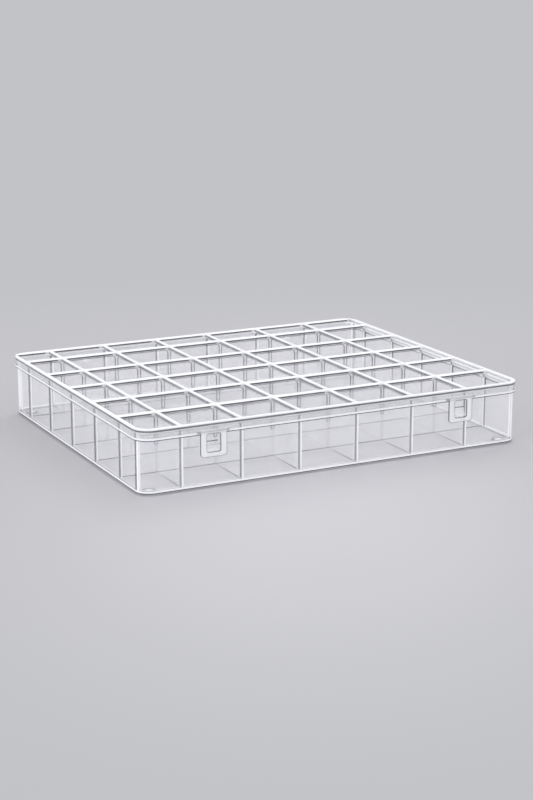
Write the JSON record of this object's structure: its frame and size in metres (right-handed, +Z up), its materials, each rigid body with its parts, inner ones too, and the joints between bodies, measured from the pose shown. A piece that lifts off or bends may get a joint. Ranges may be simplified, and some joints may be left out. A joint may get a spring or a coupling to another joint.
{
  "type": "bead organizer",
  "caption": "Clear rectangular bead organizer: a divided tray under a hinged lid frame that carries an individual flap lid over each cell, closed by front latches.",
  "frame": {"origin": "middle of the underside, on the plane the feet stand on", "axes": "+X to the right along the front, +Y from the latches to the hinges, +Z up"},
  "size_m": [0.3408, 0.2906, 0.052],
  "materials": {
    "tray_styrene": "clear, polished",
    "frame_styrene": "clear, polished",
    "flap_styrene": "clear, polished",
    "divider_styrene": "clear, polished",
    "latch_styrene": "clear, polished",
    "pin_steel": "drawn wire",
    "foot_gel": "clear gel, satin"
  },
  "bodies": {
    "base": {"tray": "tray_styrene", "hinge_pins": "pin_steel", "feet": "foot_gel", "divider_deep_1": "divider_styrene", "divider_deep_2": "divider_styrene", "divider_deep_3": "divider_styrene", "divider_deep_4": "divider_styrene", "divider_deep_5": "divider_styrene", "divider_deep_6": "divider_styrene", "divider_wide_1": "divider_styrene", "divider_wide_2": "divider_styrene", "divider_wide_3": "divider_styrene", "divider_wide_4": "divider_styrene", "divider_wide_5": "divider_styrene"},
    "lid": {"lid_frame": "frame_styrene", "latch_pins": "pin_steel"},
    "latch_left": {"latch_left": "latch_styrene"},
    "latch_right": {"latch_right": "latch_styrene"},
    "flap_r1_c1": {"flap_r1_c1": "flap_styrene"},
    "flap_r1_c2": {"flap_r1_c2": "flap_styrene"},
    "flap_r1_c3": {"flap_r1_c3": "flap_styrene"},
    "flap_r1_c4": {"flap_r1_c4": "flap_styrene"},
    "flap_r1_c5": {"flap_r1_c5": "flap_styrene"},
    "flap_r1_c6": {"flap_r1_c6": "flap_styrene"},
    "flap_r1_c7": {"flap_r1_c7": "flap_styrene"},
    "flap_r2_c1": {"flap_r2_c1": "flap_styrene"},
    "flap_r2_c2": {"flap_r2_c2": "flap_styrene"},
    "flap_r2_c3": {"flap_r2_c3": "flap_styrene"},
    "flap_r2_c4": {"flap_r2_c4": "flap_styrene"},
    "flap_r2_c5": {"flap_r2_c5": "flap_styrene"},
    "flap_r2_c6": {"flap_r2_c6": "flap_styrene"},
    "flap_r2_c7": {"flap_r2_c7": "flap_styrene"},
    "flap_r3_c1": {"flap_r3_c1": "flap_styrene"},
    "flap_r3_c2": {"flap_r3_c2": "flap_styrene"},
    "flap_r3_c3": {"flap_r3_c3": "flap_styrene"},
    "flap_r3_c4": {"flap_r3_c4": "flap_styrene"},
    "flap_r3_c5": {"flap_r3_c5": "flap_styrene"},
    "flap_r3_c6": {"flap_r3_c6": "flap_styrene"},
    "flap_r3_c7": {"flap_r3_c7": "flap_styrene"},
    "flap_r4_c1": {"flap_r4_c1": "flap_styrene"},
    "flap_r4_c2": {"flap_r4_c2": "flap_styrene"},
    "flap_r4_c3": {"flap_r4_c3": "flap_styrene"},
    "flap_r4_c4": {"flap_r4_c4": "flap_styrene"},
    "flap_r4_c5": {"flap_r4_c5": "flap_styrene"},
    "flap_r4_c6": {"flap_r4_c6": "flap_styrene"},
    "flap_r4_c7": {"flap_r4_c7": "flap_styrene"},
    "flap_r5_c1": {"flap_r5_c1": "flap_styrene"},
    "flap_r5_c2": {"flap_r5_c2": "flap_styrene"},
    "flap_r5_c3": {"flap_r5_c3": "flap_styrene"},
    "flap_r5_c4": {"flap_r5_c4": "flap_styrene"},
    "flap_r5_c5": {"flap_r5_c5": "flap_styrene"},
    "flap_r5_c6": {"flap_r5_c6": "flap_styrene"},
    "flap_r5_c7": {"flap_r5_c7": "flap_styrene"},
    "flap_r6_c1": {"flap_r6_c1": "flap_styrene"},
    "flap_r6_c2": {"flap_r6_c2": "flap_styrene"},
    "flap_r6_c3": {"flap_r6_c3": "flap_styrene"},
    "flap_r6_c4": {"flap_r6_c4": "flap_styrene"},
    "flap_r6_c5": {"flap_r6_c5": "flap_styrene"},
    "flap_r6_c6": {"flap_r6_c6": "flap_styrene"},
    "flap_r6_c7": {"flap_r6_c7": "flap_styrene"}
  },
  "joints": [
    {"name": "lid_hinge", "type": "hinge", "parent": "base", "child": "lid", "pos_m": [0, 0.1431, 0.0401], "axis": [-1, 0, 0], "range_deg": [0, 110]},
    {"name": "latch_left_swing", "type": "hinge", "parent": "lid", "child": "latch_left", "pos_m": [-0.11, -0.1438, 0.0453], "axis": [-1, 0, 0], "range_deg": [0, 120]},
    {"name": "latch_right_swing", "type": "hinge", "parent": "lid", "child": "latch_right", "pos_m": [0.11, -0.1438, 0.0453], "axis": [-1, 0, 0], "range_deg": [0, 120]},
    {"name": "flap_r1_c1_hinge", "type": "hinge", "parent": "lid", "child": "flap_r1_c1", "pos_m": [-0.1517, -0.0956, 0.0508], "axis": [-1, 0, 0], "range_deg": [0, 105]},
    {"name": "flap_r1_c2_hinge", "type": "hinge", "parent": "lid", "child": "flap_r1_c2", "pos_m": [-0.10985, -0.0956, 0.0508], "axis": [-1, 0, 0], "range_deg": [0, 105]},
    {"name": "flap_r1_c3_hinge", "type": "hinge", "parent": "lid", "child": "flap_r1_c3", "pos_m": [-0.05935, -0.0956, 0.0508], "axis": [-1, 0, 0], "range_deg": [0, 105]},
    {"name": "flap_r1_c4_hinge", "type": "hinge", "parent": "lid", "child": "flap_r1_c4", "pos_m": [-0.00885, -0.0956, 0.0508], "axis": [-1, 0, 0], "range_deg": [0, 105]},
    {"name": "flap_r1_c5_hinge", "type": "hinge", "parent": "lid", "child": "flap_r1_c5", "pos_m": [0.04165, -0.0956, 0.0508], "axis": [-1, 0, 0], "range_deg": [0, 105]},
    {"name": "flap_r1_c6_hinge", "type": "hinge", "parent": "lid", "child": "flap_r1_c6", "pos_m": [0.09215, -0.0956, 0.0508], "axis": [-1, 0, 0], "range_deg": [0, 105]},
    {"name": "flap_r1_c7_hinge", "type": "hinge", "parent": "lid", "child": "flap_r1_c7", "pos_m": [0.14285, -0.0956, 0.0508], "axis": [-1, 0, 0], "range_deg": [0, 105]},
    {"name": "flap_r2_c1_hinge", "type": "hinge", "parent": "lid", "child": "flap_r2_c1", "pos_m": [-0.1517, -0.0451, 0.0508], "axis": [-1, 0, 0], "range_deg": [0, 105]},
    {"name": "flap_r2_c2_hinge", "type": "hinge", "parent": "lid", "child": "flap_r2_c2", "pos_m": [-0.10985, -0.0451, 0.0508], "axis": [-1, 0, 0], "range_deg": [0, 105]},
    {"name": "flap_r2_c3_hinge", "type": "hinge", "parent": "lid", "child": "flap_r2_c3", "pos_m": [-0.05935, -0.0451, 0.0508], "axis": [-1, 0, 0], "range_deg": [0, 105]},
    {"name": "flap_r2_c4_hinge", "type": "hinge", "parent": "lid", "child": "flap_r2_c4", "pos_m": [-0.00885, -0.0451, 0.0508], "axis": [-1, 0, 0], "range_deg": [0, 105]},
    {"name": "flap_r2_c5_hinge", "type": "hinge", "parent": "lid", "child": "flap_r2_c5", "pos_m": [0.04165, -0.0451, 0.0508], "axis": [-1, 0, 0], "range_deg": [0, 105]},
    {"name": "flap_r2_c6_hinge", "type": "hinge", "parent": "lid", "child": "flap_r2_c6", "pos_m": [0.09215, -0.0451, 0.0508], "axis": [-1, 0, 0], "range_deg": [0, 105]},
    {"name": "flap_r2_c7_hinge", "type": "hinge", "parent": "lid", "child": "flap_r2_c7", "pos_m": [0.14285, -0.0451, 0.0508], "axis": [-1, 0, 0], "range_deg": [0, 105]},
    {"name": "flap_r3_c1_hinge", "type": "hinge", "parent": "lid", "child": "flap_r3_c1", "pos_m": [-0.1517, 0.0054, 0.0508], "axis": [-1, 0, 0], "range_deg": [0, 105]},
    {"name": "flap_r3_c2_hinge", "type": "hinge", "parent": "lid", "child": "flap_r3_c2", "pos_m": [-0.10985, 0.0054, 0.0508], "axis": [-1, 0, 0], "range_deg": [0, 105]},
    {"name": "flap_r3_c3_hinge", "type": "hinge", "parent": "lid", "child": "flap_r3_c3", "pos_m": [-0.05935, 0.0054, 0.0508], "axis": [-1, 0, 0], "range_deg": [0, 105]},
    {"name": "flap_r3_c4_hinge", "type": "hinge", "parent": "lid", "child": "flap_r3_c4", "pos_m": [-0.00885, 0.0054, 0.0508], "axis": [-1, 0, 0], "range_deg": [0, 105]},
    {"name": "flap_r3_c5_hinge", "type": "hinge", "parent": "lid", "child": "flap_r3_c5", "pos_m": [0.04165, 0.0054, 0.0508], "axis": [-1, 0, 0], "range_deg": [0, 105]},
    {"name": "flap_r3_c6_hinge", "type": "hinge", "parent": "lid", "child": "flap_r3_c6", "pos_m": [0.09215, 0.0054, 0.0508], "axis": [-1, 0, 0], "range_deg": [0, 105]},
    {"name": "flap_r3_c7_hinge", "type": "hinge", "parent": "lid", "child": "flap_r3_c7", "pos_m": [0.14285, 0.0054, 0.0508], "axis": [-1, 0, 0], "range_deg": [0, 105]},
    {"name": "flap_r4_c1_hinge", "type": "hinge", "parent": "lid", "child": "flap_r4_c1", "pos_m": [-0.1517, 0.0559, 0.0508], "axis": [-1, 0, 0], "range_deg": [0, 105]},
    {"name": "flap_r4_c2_hinge", "type": "hinge", "parent": "lid", "child": "flap_r4_c2", "pos_m": [-0.10985, 0.0559, 0.0508], "axis": [-1, 0, 0], "range_deg": [0, 105]},
    {"name": "flap_r4_c3_hinge", "type": "hinge", "parent": "lid", "child": "flap_r4_c3", "pos_m": [-0.05935, 0.0559, 0.0508], "axis": [-1, 0, 0], "range_deg": [0, 105]},
    {"name": "flap_r4_c4_hinge", "type": "hinge", "parent": "lid", "child": "flap_r4_c4", "pos_m": [-0.00885, 0.0559, 0.0508], "axis": [-1, 0, 0], "range_deg": [0, 105]},
    {"name": "flap_r4_c5_hinge", "type": "hinge", "parent": "lid", "child": "flap_r4_c5", "pos_m": [0.04165, 0.0559, 0.0508], "axis": [-1, 0, 0], "range_deg": [0, 105]},
    {"name": "flap_r4_c6_hinge", "type": "hinge", "parent": "lid", "child": "flap_r4_c6", "pos_m": [0.09215, 0.0559, 0.0508], "axis": [-1, 0, 0], "range_deg": [0, 105]},
    {"name": "flap_r4_c7_hinge", "type": "hinge", "parent": "lid", "child": "flap_r4_c7", "pos_m": [0.14285, 0.0559, 0.0508], "axis": [-1, 0, 0], "range_deg": [0, 105]},
    {"name": "flap_r5_c1_hinge", "type": "hinge", "parent": "lid", "child": "flap_r5_c1", "pos_m": [-0.1517, 0.1064, 0.0508], "axis": [-1, 0, 0], "range_deg": [0, 105]},
    {"name": "flap_r5_c2_hinge", "type": "hinge", "parent": "lid", "child": "flap_r5_c2", "pos_m": [-0.10985, 0.1064, 0.0508], "axis": [-1, 0, 0], "range_deg": [0, 105]},
    {"name": "flap_r5_c3_hinge", "type": "hinge", "parent": "lid", "child": "flap_r5_c3", "pos_m": [-0.05935, 0.1064, 0.0508], "axis": [-1, 0, 0], "range_deg": [0, 105]},
    {"name": "flap_r5_c4_hinge", "type": "hinge", "parent": "lid", "child": "flap_r5_c4", "pos_m": [-0.00885, 0.1064, 0.0508], "axis": [-1, 0, 0], "range_deg": [0, 105]},
    {"name": "flap_r5_c5_hinge", "type": "hinge", "parent": "lid", "child": "flap_r5_c5", "pos_m": [0.04165, 0.1064, 0.0508], "axis": [-1, 0, 0], "range_deg": [0, 105]},
    {"name": "flap_r5_c6_hinge", "type": "hinge", "parent": "lid", "child": "flap_r5_c6", "pos_m": [0.09215, 0.1064, 0.0508], "axis": [-1, 0, 0], "range_deg": [0, 105]},
    {"name": "flap_r5_c7_hinge", "type": "hinge", "parent": "lid", "child": "flap_r5_c7", "pos_m": [0.14285, 0.1064, 0.0508], "axis": [-1, 0, 0], "range_deg": [0, 105]},
    {"name": "flap_r6_c1_hinge", "type": "hinge", "parent": "lid", "child": "flap_r6_c1", "pos_m": [-0.1517, 0.1377, 0.0508], "axis": [-1, 0, 0], "range_deg": [0, 105]},
    {"name": "flap_r6_c2_hinge", "type": "hinge", "parent": "lid", "child": "flap_r6_c2", "pos_m": [-0.10985, 0.1377, 0.0508], "axis": [-1, 0, 0], "range_deg": [0, 105]},
    {"name": "flap_r6_c3_hinge", "type": "hinge", "parent": "lid", "child": "flap_r6_c3", "pos_m": [-0.05935, 0.1377, 0.0508], "axis": [-1, 0, 0], "range_deg": [0, 105]},
    {"name": "flap_r6_c4_hinge", "type": "hinge", "parent": "lid", "child": "flap_r6_c4", "pos_m": [-0.00885, 0.1377, 0.0508], "axis": [-1, 0, 0], "range_deg": [0, 105]},
    {"name": "flap_r6_c5_hinge", "type": "hinge", "parent": "lid", "child": "flap_r6_c5", "pos_m": [0.04165, 0.1377, 0.0508], "axis": [-1, 0, 0], "range_deg": [0, 105]},
    {"name": "flap_r6_c6_hinge", "type": "hinge", "parent": "lid", "child": "flap_r6_c6", "pos_m": [0.09215, 0.1377, 0.0508], "axis": [-1, 0, 0], "range_deg": [0, 105]},
    {"name": "flap_r6_c7_hinge", "type": "hinge", "parent": "lid", "child": "flap_r6_c7", "pos_m": [0.14285, 0.1377, 0.0508], "axis": [-1, 0, 0], "range_deg": [0, 105]}
  ]
}
